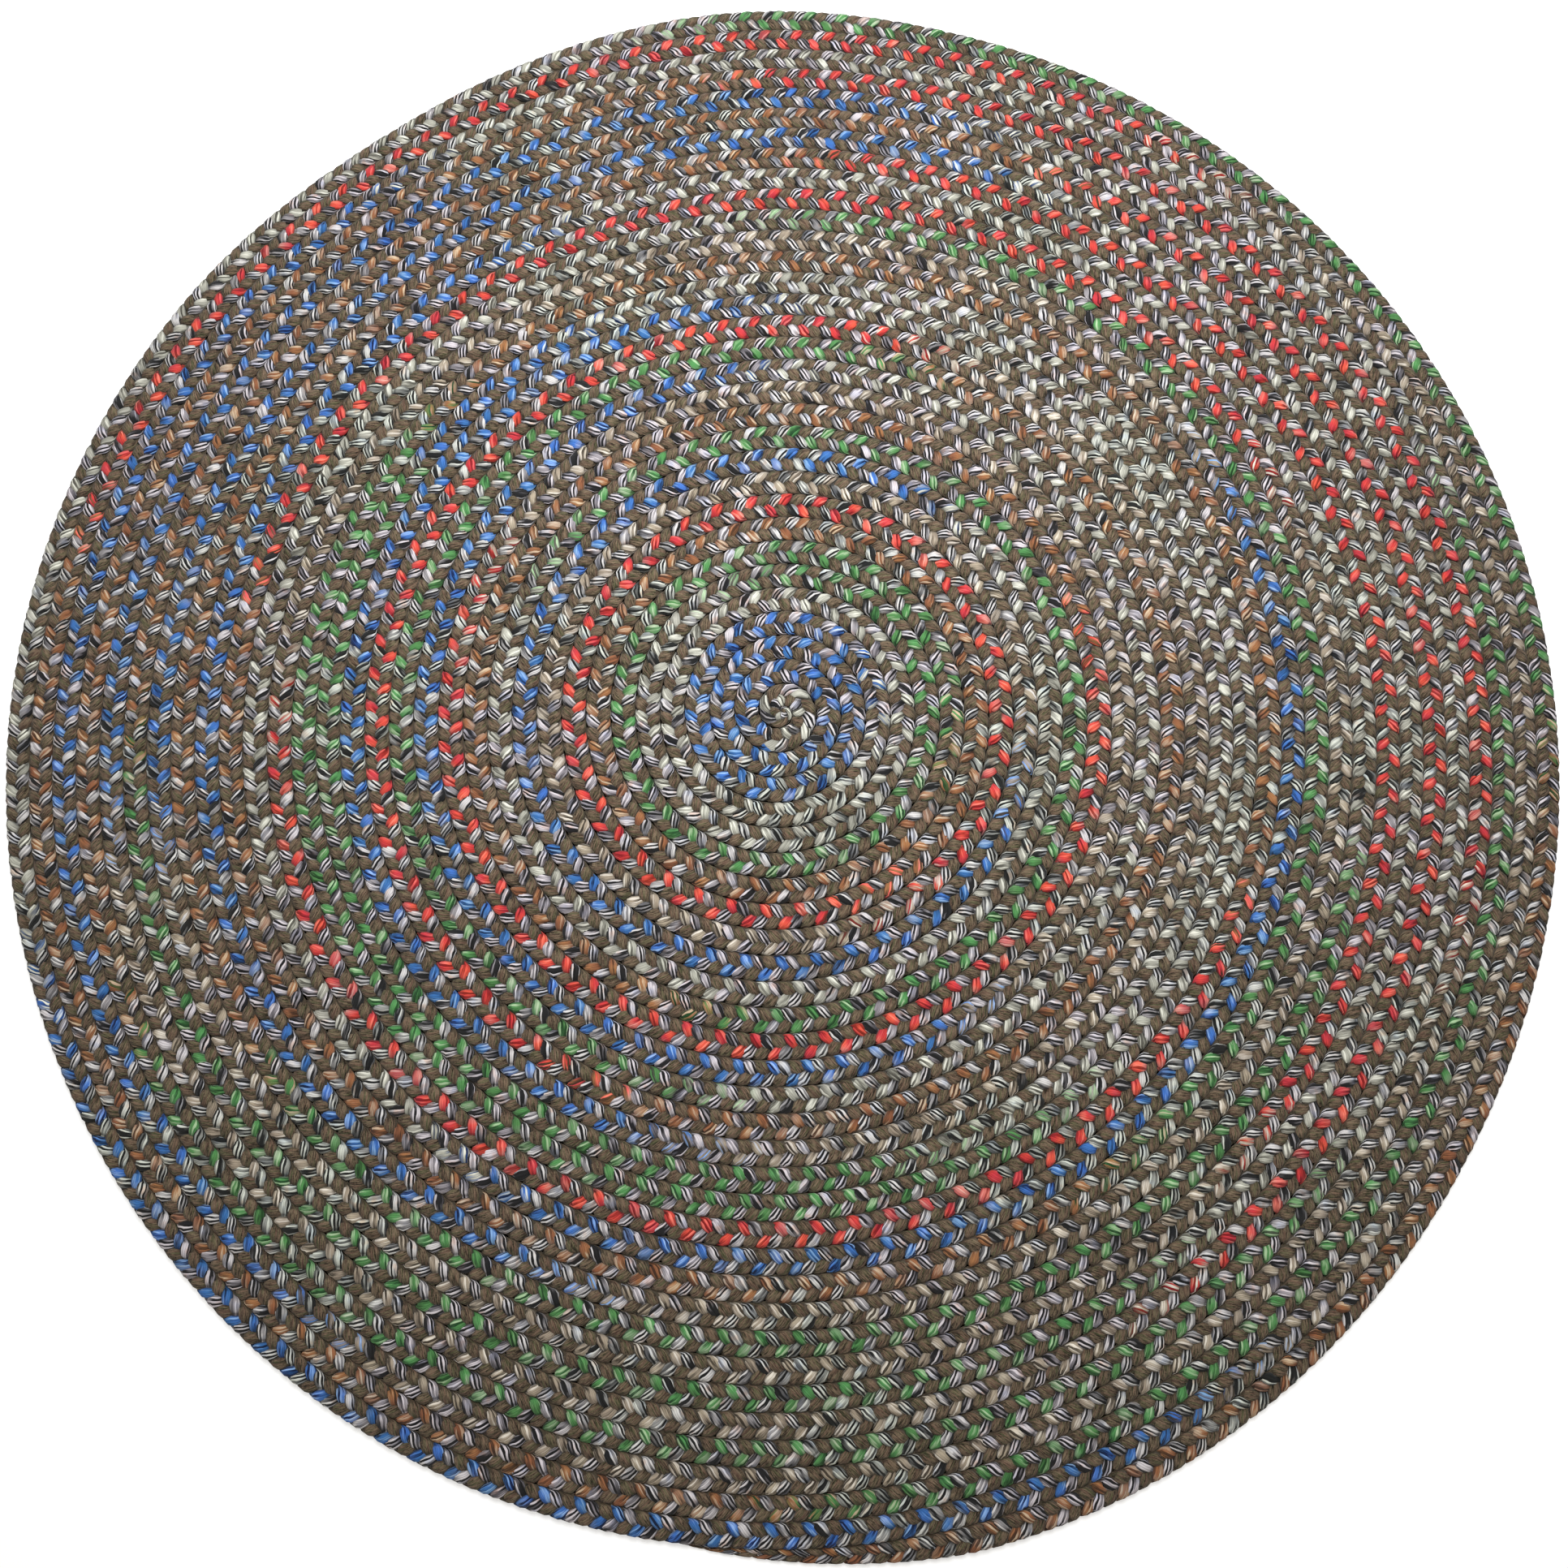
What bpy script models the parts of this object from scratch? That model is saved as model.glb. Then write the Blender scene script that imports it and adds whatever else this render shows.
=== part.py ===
"""A round braided rug: one flat three-strand braid, coiled on itself from the heart outwards and sewn edge to edge.

The rug is one solid. Its top is a spiral ridge, flat along the middle of the braid, with a valley along each
seam, and its underside is flat. The braid ends in a tail that tapers off against the round before it.
Metres, +Z up. The origin is the pole of the coil, on the underside; +X and +Y lie in the floor.
"""

import math

import bmesh
import bpy

# The braid.
BRAID_WIDTH = 0.0293        # across the braid near the heart of the coil
BRAID_THICKNESS = 0.0127    # half an inch, from the floor to the braid's top
VALLEY_HEIGHT = 0.0060      # the seam between two rounds, above the floor
SHOULDERS = (0.25, 0.75)    # where the top is full, as shares of the width from the inner edge

# The coil. Rounds are counted from the pole to the braid's inner edge, and they wind outwards clockwise.
STEPS_PER_ROUND = 54
FIRST_STEP = 27             # half a round: inside it lies the curled heart
LAST_STEP = 1711            # 31.69 rounds: the tip of the tail
TAIL_STEPS = 3              # the tail tapers over 20 degrees, about 0.3 m
START_BEARING = math.radians(149.2)

# The rounds are drawn in a little towards the rim, by these shares of the radius at FULL_ROUNDS.
FULL_ROUNDS = 32.0
DRAWN_IN_SQUARE = 0.0166
DRAWN_IN_FOURTH = 0.0127

# Where the rim stands out of the even coil, or falls short of it, as sewn by hand.
RIM_UNEVENNESS = (
    # (bearing in degrees, spread in degrees, swell in metres)
    (93.0, 13.0, 0.0076),
    (125.0, 13.0, -0.0088),
    (178.0, 30.0, 0.0038),
    (298.0, 24.0, 0.0066),
)
UNEVENNESS_POWER = 6        # how fast the unevenness fades from the rim inwards

# The rim's rounded side, as (inset from the outermost line, height), from the top down.
RIM_PROFILE = (
    (0.0042, 0.0106),
    (0.0000, 0.0060),
    (0.0045, 0.0000),
)

# The heart's middle, in braid widths from the pole and as a turn ahead of the ridge's start.
HEART_OFFSET = 0.35
HEART_TURN = math.radians(90.0)

WOOL_COLOUR = (0.165, 0.138, 0.108, 1.0)
WOOL_ROUGHNESS = 0.95


def bearing_at(rounds):
    """The direction from the pole to the spiral after that many rounds, in radians."""
    return START_BEARING - 2.0 * math.pi * rounds


def swell_at(bearing):
    """How far the rim stands out of the even coil at a bearing, as a sum of bell curves, in metres."""
    total = 0.0
    for centre_deg, spread_deg, swell in RIM_UNEVENNESS:
        away = math.remainder(bearing - math.radians(centre_deg), 2.0 * math.pi)
        total += swell * math.exp(-((away / math.radians(spread_deg)) ** 2))
    return total


def radius_at(rounds, bearing):
    """The radius that many braid widths out from the pole: even, less the drawing in, plus the unevenness."""
    share = rounds / FULL_ROUNDS
    even = BRAID_WIDTH * rounds * (1.0 - DRAWN_IN_SQUARE * share**2 - DRAWN_IN_FOURTH * share**4)
    return even + swell_at(bearing) * share**UNEVENNESS_POWER


def tail_width(step):
    """The braid's width at a step, as a share of the full one: 1 along the coil, down to 0 at the tail's tip."""
    return min(1.0, (LAST_STEP - step) / TAIL_STEPS)


def point_across(step, across, height, inset=0.0):
    """The point at a step of the spiral, across (0 to 1) from the braid's inner edge to its outer one."""
    rounds = step / STEPS_PER_ROUND
    bearing = bearing_at(rounds)
    radius = radius_at(rounds + across * tail_width(step), bearing) - inset
    return (radius * math.cos(bearing), radius * math.sin(bearing), height)


def tail_height(step, full, low):
    """A height that falls from full to low along the tail."""
    return low + (full - low) * tail_width(step)


def seam_row(mesh):
    """The valley along the braid's inner edge, and the rim's top edge after it. A vertex for each step."""
    rim_inset, rim_height = RIM_PROFILE[0]
    seam = {}
    for step in range(FIRST_STEP, LAST_STEP):
        seam[step] = mesh.verts.new(point_across(step, 0.0, VALLEY_HEIGHT))
    for step in range(LAST_STEP - STEPS_PER_ROUND, LAST_STEP):
        outer = point_across(step, 1.0, rim_height, rim_inset)
        seam[step + STEPS_PER_ROUND] = mesh.verts.new(outer)
    seam[LAST_STEP + STEPS_PER_ROUND] = seam[LAST_STEP]
    return seam


def shoulder_row(mesh, seam, across):
    """One of the two lines where the braid's top is full. It ends in the seam at the tail's tip."""
    shoulder = {}
    for step in range(FIRST_STEP, LAST_STEP):
        height = tail_height(step, BRAID_THICKNESS, RIM_PROFILE[0][1])
        shoulder[step] = mesh.verts.new(point_across(step, across, height))
    shoulder[LAST_STEP] = seam[LAST_STEP]
    return shoulder


def add_face(mesh, corners):
    """Adds a face on the corners, each taken once, where enough of them are left."""
    once = list(dict.fromkeys(corners))
    if len(once) > 2:
        mesh.faces.new(once)


def add_ridge(mesh, rows):
    """The spiral ridge: at each step, a face between each pair of the rows that run along it."""
    for step in range(FIRST_STEP, LAST_STEP):
        for inner, outer in zip(rows, rows[1:]):
            add_face(mesh, (inner[step], inner[step + 1], outer[step + 1], outer[step]))


def add_heart(mesh, rows):
    """The curled heart: a fan from its middle to the first full round of the seam and the ridge's start."""
    bearing = bearing_at(FIRST_STEP / STEPS_PER_ROUND) + HEART_TURN
    radius = HEART_OFFSET * BRAID_WIDTH
    middle = mesh.verts.new((radius * math.cos(bearing), radius * math.sin(bearing), BRAID_THICKNESS))
    seam = rows[0]
    ring = [seam[step] for step in range(FIRST_STEP, FIRST_STEP + STEPS_PER_ROUND)]
    ring += [row[FIRST_STEP] for row in reversed(rows[1:])]
    for here, there in zip(ring, ring[1:] + ring[:1]):
        mesh.faces.new((middle, there, here))


def add_rim_and_underside(mesh, seam):
    """The rounded side, a band for each pair of the profile's lines, and the flat underside as one face."""
    first = LAST_STEP - STEPS_PER_ROUND
    upper = [seam[step + STEPS_PER_ROUND] for step in range(first, LAST_STEP)]
    for inset, height in RIM_PROFILE[1:]:
        points = [point_across(step, 1.0, height, inset) for step in range(first, LAST_STEP)]
        lower = [mesh.verts.new(point) for point in points]
        for here in range(STEPS_PER_ROUND):
            there = (here + 1) % STEPS_PER_ROUND
            mesh.faces.new((upper[here], upper[there], lower[there], lower[here]))
        upper = lower
    mesh.faces.new(upper)


def wool_material():
    """The rug's general colour, a dull dark brown."""
    material = bpy.data.materials.new("braided_wool")
    material.use_nodes = True
    shader = material.node_tree.nodes["Principled BSDF"]
    shader.inputs["Base Color"].default_value = WOOL_COLOUR
    shader.inputs["Roughness"].default_value = WOOL_ROUGHNESS
    shader.inputs["Metallic"].default_value = 0.0
    return material


def build_rug():
    """The rug's solid, shaded smooth but for the edge between its side and its underside."""
    mesh = bmesh.new()
    seam = seam_row(mesh)
    next_seam = {step: seam[step + STEPS_PER_ROUND] for step in range(FIRST_STEP, LAST_STEP + 1)}
    shoulders = [shoulder_row(mesh, seam, across) for across in SHOULDERS]
    rows = [seam, *shoulders, next_seam]
    add_ridge(mesh, rows)
    add_heart(mesh, rows)
    add_rim_and_underside(mesh, seam)
    bmesh.ops.recalc_face_normals(mesh, faces=mesh.faces)
    data = bpy.data.meshes.new("braided_rug")
    mesh.to_mesh(data)
    mesh.free()
    data.shade_smooth()
    data.set_sharp_from_angle(angle=math.radians(40.0))
    rug = bpy.data.objects.new("braided_rug", data)
    data.materials.append(wool_material())
    bpy.context.scene.collection.objects.link(rug)
    return rug


def main():
    """Clears the scene and builds the rug."""
    for old in list(bpy.data.objects):
        bpy.data.objects.remove(old)
    build_rug()


main()
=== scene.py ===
"""The looks of the round braided rug: three plaited strands of wool, coiled from the heart outwards.

The braid is followed by two measures. Its rounds are counted from the pole to the braid's inner edge, and
its length in braid widths from the pole. Each strand swings from one edge of the braid to the other and back
once a turn of the plait, and goes over and under twice, so that each turn shows one lobe of it in each row,
on both faces. Metres, +Z up. The origin is the pole of the coil, on the underside, as in the frame.
"""

import logging
import math
from dataclasses import dataclass
from enum import Enum
from typing import Sequence

import bpy
import numpy as np
from mathutils import Matrix


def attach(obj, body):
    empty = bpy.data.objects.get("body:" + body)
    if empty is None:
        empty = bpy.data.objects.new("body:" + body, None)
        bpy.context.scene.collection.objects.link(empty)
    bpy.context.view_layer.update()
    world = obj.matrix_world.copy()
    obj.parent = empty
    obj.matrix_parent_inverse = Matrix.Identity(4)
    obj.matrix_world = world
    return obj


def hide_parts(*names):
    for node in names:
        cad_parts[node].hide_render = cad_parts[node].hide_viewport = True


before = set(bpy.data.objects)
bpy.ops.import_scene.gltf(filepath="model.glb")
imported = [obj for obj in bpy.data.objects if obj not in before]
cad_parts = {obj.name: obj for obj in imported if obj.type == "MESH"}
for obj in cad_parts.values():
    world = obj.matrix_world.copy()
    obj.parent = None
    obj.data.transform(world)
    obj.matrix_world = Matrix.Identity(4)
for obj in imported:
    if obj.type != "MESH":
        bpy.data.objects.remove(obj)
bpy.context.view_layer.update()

LOG = logging.getLogger("braided_rug")

RUG_NODE = "braided_rug"
BODY = "root"
STRAND_MAP = "strand"
DYE_ATTRIBUTE = "dye_run"
PICTURE_SIDE = 1932.0
SEED = 4042

Colour = tuple[float, float, float]
Place = tuple[float, float, float]
Span = tuple[float, float]    # two numbers, such as the ends of a range
Node = bpy.types.Node
Socket = bpy.types.NodeSocket
Sockets = bpy.types.bpy_prop_collection
Pair = tuple[Socket, Socket]
Material = bpy.types.Material

TURN = 2.0 * math.pi
OUTER_LOBE = TURN / 8.0    # the angle within a turn at the middle of the lobe in the outer row
NOISE_LEAD = 1.0           # turns: strands start a little before zero, and the noise is read from 0 up


class Wool(Enum):
    """The three wools of the plait, by the record's material slots."""

    BROWN = "brown_wool"
    MARL = "marl_wool"
    DYED = "dyed_wool"


class Half(Enum):
    """The two halves that each strand is made in."""

    INNER = "inner"
    OUTER = "outer"


# --------------------------------------------------------------------------------------------------------
# The coil and the plait
# --------------------------------------------------------------------------------------------------------


@dataclass(frozen=True)
class Coil:
    """The spiral that the braid is sewn in, with the same sizes as the solid's."""

    braid_width: float = 0.0293
    thickness: float = 0.0127
    start_bearing: float = math.radians(149.2)
    full_rounds: float = 32.0
    drawn_in_square: float = 0.0166
    drawn_in_fourth: float = 0.0127
    # Where the rim stands out or falls short: (bearing in degrees, spread in degrees, swell in metres).
    unevenness: tuple[tuple[float, float, float], ...] = (
        (93.0, 13.0, 0.0076),
        (125.0, 13.0, -0.0088),
        (178.0, 30.0, 0.0038),
        (298.0, 24.0, 0.0066),
    )
    unevenness_power: int = 6
    first_round: float = -0.97    # the braid's end, curled in round the pole
    last_round: float = 1711.0 / 54.0    # the tail's tip, by the solid's 54 steps to a round
    tail_rounds: float = 3.0 / 54.0
    tail_power: float = 0.75      # below 1, the tail stays wide for longer
    samples: int = 60001          # how finely the spiral is followed

    def bearing(self, rounds: np.ndarray) -> np.ndarray:
        """The direction from the pole after that many rounds, clockwise, in radians."""
        return self.start_bearing - TURN * rounds

    def swell(self, bearing: np.ndarray) -> np.ndarray:
        """How far the rim stands out of the even coil: a sum of bell curves round the rim.

        Args:
            bearing: the direction from the pole, in radians.

        Returns:
            The distance in metres, below zero where the rim falls short.
        """
        total = np.zeros_like(bearing)
        for centre, spread, swell in self.unevenness:
            away = np.remainder(bearing - math.radians(centre) + math.pi, TURN) - math.pi
            total += swell * np.exp(-((away / math.radians(spread)) ** 2))
        return total

    def radius(self, rounds: np.ndarray, bearing: np.ndarray) -> np.ndarray:
        """The radius at a count of rounds: even, less the drawing in, plus the unevenness.

        Args:
            rounds: braid widths out from the pole.
            bearing: the direction from the pole, in radians.

        Returns:
            The radius in metres.
        """
        share = rounds / self.full_rounds
        left = 1.0 - self.drawn_in_square * share**2 - self.drawn_in_fourth * share**4
        even = self.braid_width * rounds * left
        return even + self.swell(bearing) * share**self.unevenness_power

    def lengths(self) -> tuple[np.ndarray, np.ndarray]:
        """The length of the braid's middle line in braid widths, zero where its inner edge leaves the pole.

        The line is one width further out each round, and half a width inside the pole's own round. A step
        along it is the root of the squares of the step outwards and of the step round the pole, and the steps
        are added up.

        Returns:
            Closely spaced rounds, and the length up to each.
        """
        rounds = np.linspace(self.first_round, self.last_round, self.samples)
        middle = 0.5 * (np.maximum(rounds, 0.0) + rounds + 1.0)
        rate = np.sqrt(1.0 + (TURN * middle) ** 2)
        steps = 0.5 * (rate[1:] + rate[:-1]) * np.diff(rounds)
        length = np.concatenate([[0.0], np.cumsum(steps)])
        return rounds, length - np.interp(0.0, rounds, length)

    def tail(self, rounds: np.ndarray) -> np.ndarray:
        """The braid's width as a share of the full one: 1 along the coil, down to 0 at the tail's tip."""
        return np.clip((self.last_round - rounds) / self.tail_rounds, 0.0, 1.0) ** self.tail_power

    def point(self, rounds: np.ndarray, across: np.ndarray, height: np.ndarray) -> np.ndarray:
        """Points of the braid, across it from its inner edge (0) to its outer one (1).

        In the pole's own round the inner edge stays at the pole, and the braid widens from nothing.

        Args:
            rounds: where along the spiral.
            across: how far across the braid, in shares of its width there.
            height: the height above the floor, in metres.

        Returns:
            An array of points, shape (..., 3).
        """
        bearing = self.bearing(rounds)
        width = np.minimum(self.tail(rounds), 1.0 + rounds)
        radius = self.radius(np.maximum(np.maximum(rounds, 0.0) + across * width, 0.0), bearing)
        return np.stack([radius * np.cos(bearing), radius * np.sin(bearing), height], axis=-1)


@dataclass(frozen=True)
class Plait:
    """How the three strands cross along the braid."""

    coil: Coil
    # How long a turn of the plait is, along the braid: (length so far, length of a turn), in braid widths.
    turn_lengths: tuple[tuple[float, float], ...] = (
        (40.0, 1.33),
        (100.0, 1.39),
        (300.0, 1.42),
        (640.0, 1.365),
        (1180.0, 1.36),
        (1300.0, 1.45),
        (1480.0, 1.435),
        (1840.0, 1.435),
        (2250.0, 1.455),
        (3243.0, 1.455),
        (3253.0, 1.900),
    )
    swing: float = 0.48           # how far a strand's middle gets from the braid's, in braid widths
    level: float = 1.7            # how flat the lobes' tops are: 0 is a plain wave
    row_shift: float = 0.050      # how many turns the outer row of lobes is behind an even plait's
    row_hold: float = 3.0         # how steadily a strand keeps to that place all along its lobe
    reach: float = 0.028          # how many turns further along, each way, a lobe's ends lie
    # Strands are pressed flat against the next round: from the first distance on, within the second.
    pressed_from: float = 0.40
    pressed_to: float = 0.530
    rim_to: float = 0.560         # the same where there is no next round
    pressed_down: float = 0.60    # how much nearer to the middle of the thickness they are pressed there

    def turn_table(self) -> tuple[np.ndarray, np.ndarray, np.ndarray]:
        """The rounds and the length along the braid, closely spaced, and the turns of the plait up to each.

        Returns:
            Three arrays as long as the spiral's samples.
        """
        rounds, length = self.coil.lengths()
        known = np.array(self.turn_lengths)
        per_length = 1.0 / np.interp(length, known[:, 0], known[:, 1])
        steps = 0.5 * (per_length[1:] + per_length[:-1]) * np.diff(length)
        return rounds, length, np.concatenate([[0.0], np.cumsum(steps)])

    def turn_range(self) -> tuple[float, float]:
        """The turns of the plait at the heart and at the tail's tip."""
        count = self.turn_table()[2]
        return float(count[0]), float(count[-1])

    def tail_after(self, turns: np.ndarray) -> np.ndarray:
        """How much of the braid's width the tail has left after that many turns, from 1 down to 0."""
        rounds, _, count = self.turn_table()
        return self.coil.tail(np.interp(turns, count, rounds))

    def laid(self, along: np.ndarray, aside: np.ndarray, height: np.ndarray) -> np.ndarray:
        """Lays points of a straight braid into the coil, pressed in between its rounds.

        Beyond the first distance from the braid's middle, what is left is divided by how far there is to go,
        and one less the exponential of its negative is the share of that way that it goes. Nothing lies below
        the floor.

        Args:
            along: how far along the braid, in metres.
            aside: how far from its middle line, outwards, in metres.
            height: the height above the floor.

        Returns:
            The points in the frame, shape (..., 3).
        """
        coil = self.coil
        rounds, length = coil.lengths()
        place = np.interp(along / coil.braid_width, length, rounds)
        share = np.abs(aside) / coil.braid_width
        limit = np.where((place > coil.last_round - 1.0) & (aside > 0.0), self.rim_to, self.pressed_to)
        gone = 1.0 - np.exp(-np.maximum(share - self.pressed_from, 0.0) / (limit - self.pressed_from))
        share = np.minimum(share, self.pressed_from) + gone * (limit - self.pressed_from)
        middle = 0.5 * coil.thickness
        level = middle + (height - middle) * (1.0 - self.pressed_down * gone)
        return coil.point(place, 0.5 + np.sign(aside) * share, np.maximum(level, 0.0))

    def length_after(self, turns: np.ndarray) -> np.ndarray:
        """The length along the braid after that many turns of the plait, in braid widths."""
        _, length, count = self.turn_table()
        return np.interp(turns, count, length)


# --------------------------------------------------------------------------------------------------------
# Meshes
# --------------------------------------------------------------------------------------------------------


def smooth_noise(positions: np.ndarray, spacing: float, seed: int) -> np.ndarray:
    """Smooth noise along a line: a random value every spacing, eased from each to the next.

    Args:
        positions: where it is read, from 0 up.
        spacing: how far apart the random values are.
        seed: the seed of the values, with which a place always has the same noise.

    Returns:
        Values of about -1 to 1, as many as there are positions.
    """
    place = positions / spacing
    values = np.random.default_rng(seed).uniform(-1.0, 1.0, int(place.max()) + 3)
    cell = np.floor(place).astype(int)
    part = place - cell
    ease = part * part * (3.0 - 2.0 * part)
    return values[cell] * (1.0 - ease) + values[cell + 1] * ease


@dataclass(frozen=True)
class Unevenness:
    """How uneven a strand is in one way, as plaited by hand: smooth noise along it."""

    size: float
    spacing: float                # turns of the plait from one random value to the next
    draw: int                     # added to the strand's seed

    def along(self, turns: np.ndarray, seed: int) -> np.ndarray:
        """The noise at those turns of the plait, for a strand's seed."""
        return self.size * smooth_noise(turns + NOISE_LEAD, self.spacing, seed + self.draw)


def new_mesh_object(name: str, points: np.ndarray, faces: Sequence[np.ndarray]) -> bpy.types.Object:
    """Makes a smooth mesh object at the origin from points and faces.

    Args:
        name: the piece's name.
        points: the vertices, shape (n, 3).
        faces: arrays of faces, each of shape (faces, corners).

    Returns:
        The object, linked to the scene.
    """
    mesh = bpy.data.meshes.new(name)
    corners = np.concatenate([block.ravel() for block in faces])
    sizes = np.concatenate([np.full(len(block), block.shape[1]) for block in faces])
    starts = np.concatenate([[0], np.cumsum(sizes)[:-1]])
    mesh.vertices.add(len(points))
    mesh.vertices.foreach_set("co", points.astype(np.float32).ravel())
    mesh.loops.add(len(corners))
    mesh.loops.foreach_set("vertex_index", corners.astype(np.int32))
    mesh.polygons.add(len(sizes))
    mesh.polygons.foreach_set("loop_start", starts.astype(np.int32))
    mesh.update(calc_edges=True)
    mesh.validate()
    mesh.shade_smooth()
    piece = bpy.data.objects.new(name, mesh)
    bpy.context.scene.collection.objects.link(piece)
    return piece


def tube_faces(rings: int, sides: int) -> list[np.ndarray]:
    """The faces of a closed tube: quads from each ring of points to the next, and a cap on each end.

    Args:
        rings: how many rings of points.
        sides: how many points in a ring, counted from the right, over the top, to the left.

    Returns:
        The quads, then the two caps.
    """
    start = np.arange(rings - 1)[:, None] * sides
    here = np.arange(sides)[None, :]
    there = (here + 1) % sides
    quads = np.stack([start + here, start + sides + here, start + sides + there, start + there], axis=-1)
    first = np.arange(sides)[None, :]
    last = (rings - 1) * sides + np.arange(sides)[::-1][None, :]
    return [quads.reshape(-1, 4), first, last]


def tube_map(turns: np.ndarray, around: np.ndarray) -> np.ndarray:
    """The corners' places on a tube's own map: turns of the plait along it, and the share of the way round.

    Args:
        turns: the turns at each ring, counted from where the strand goes up into its outer row.
        around: the angle of each point in each ring, in radians, shape (rings, sides).

    Returns:
        Two numbers for each corner, in the order of tube_faces.
    """
    share = around / TURN
    following = np.concatenate([share[:, 1:], np.ones((len(turns), 1))], axis=1)
    low = np.broadcast_to(turns[:-1, None], share[1:].shape)
    high = np.broadcast_to(turns[1:, None], share[1:].shape)
    along = np.stack([low, high, high, low], axis=-1)
    across = np.stack([share[:-1], share[1:], following[1:], following[:-1]], axis=-1)
    quads = np.stack([along, across], axis=-1).reshape(-1, 2)
    first = np.stack([np.full(share.shape[1], turns[0]), share[0]], axis=-1)
    last = np.stack([np.full(share.shape[1], turns[-1]), share[-1, ::-1]], axis=-1)
    return np.concatenate([quads, first, last])


def ring_angles(upwards: np.ndarray, sides: int) -> np.ndarray:
    """The angles of the points round a strand, close together on the face that shows.

    Where the strand is on top, all points but one lie evenly over its upper half, and where it is
    underneath, over its lower half. In between, each point's angle is a mix of the two.

    Args:
        upwards: 1 where the strand is on top, 0 where it is underneath, for each ring.
        sides: how many points go round it.

    Returns:
        The angles in radians, counted from the right over the top, shape (rings, sides).
    """
    fine = math.pi * np.arange(sides - 1) / (sides - 2)
    top = np.append(fine, 1.5 * math.pi)
    bottom = np.concatenate([[0.0, 0.5 * math.pi], math.pi + fine[:-1]])
    return top * upwards[:, None] + bottom * (1.0 - upwards[:, None])


def carried_rings(path: np.ndarray, half_width: np.ndarray, half_height: np.ndarray, angles: np.ndarray,
                  fullness: float) -> np.ndarray:
    """An oval profile carried along a path, level from side to side.

    Each point is the path's plus half the width times a cosine to the side and half the height times a
    sine upwards, where the side is level and square to the path, and upwards is square to both. The cosine
    and the sine are raised to a power below 1, which makes the oval fuller.

    Args:
        path: points along the middle, shape (n, 3).
        half_width: half of the oval's width at each point.
        half_height: half of its height at each point.
        angles: the angles of the points round it, shape (n, sides).
        fullness: the power.

    Returns:
        The rings, shape (n, sides, 3).
    """
    tangent = np.gradient(path, axis=0)
    tangent /= np.linalg.norm(tangent, axis=1, keepdims=True)
    side = np.cross(tangent, (0.0, 0.0, 1.0))
    side /= np.maximum(np.linalg.norm(side, axis=1, keepdims=True), 1e-9)
    up = np.cross(side, tangent)
    cosine, sine = np.cos(angles), np.sin(angles)
    wide = half_width[:, None] * np.sign(cosine) * np.abs(cosine) ** fullness
    high = half_height[:, None] * np.sign(sine) * np.abs(sine) ** fullness
    return path[:, None, :] + side[:, None, :] * wide[..., None] + up[:, None, :] * high[..., None]


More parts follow.
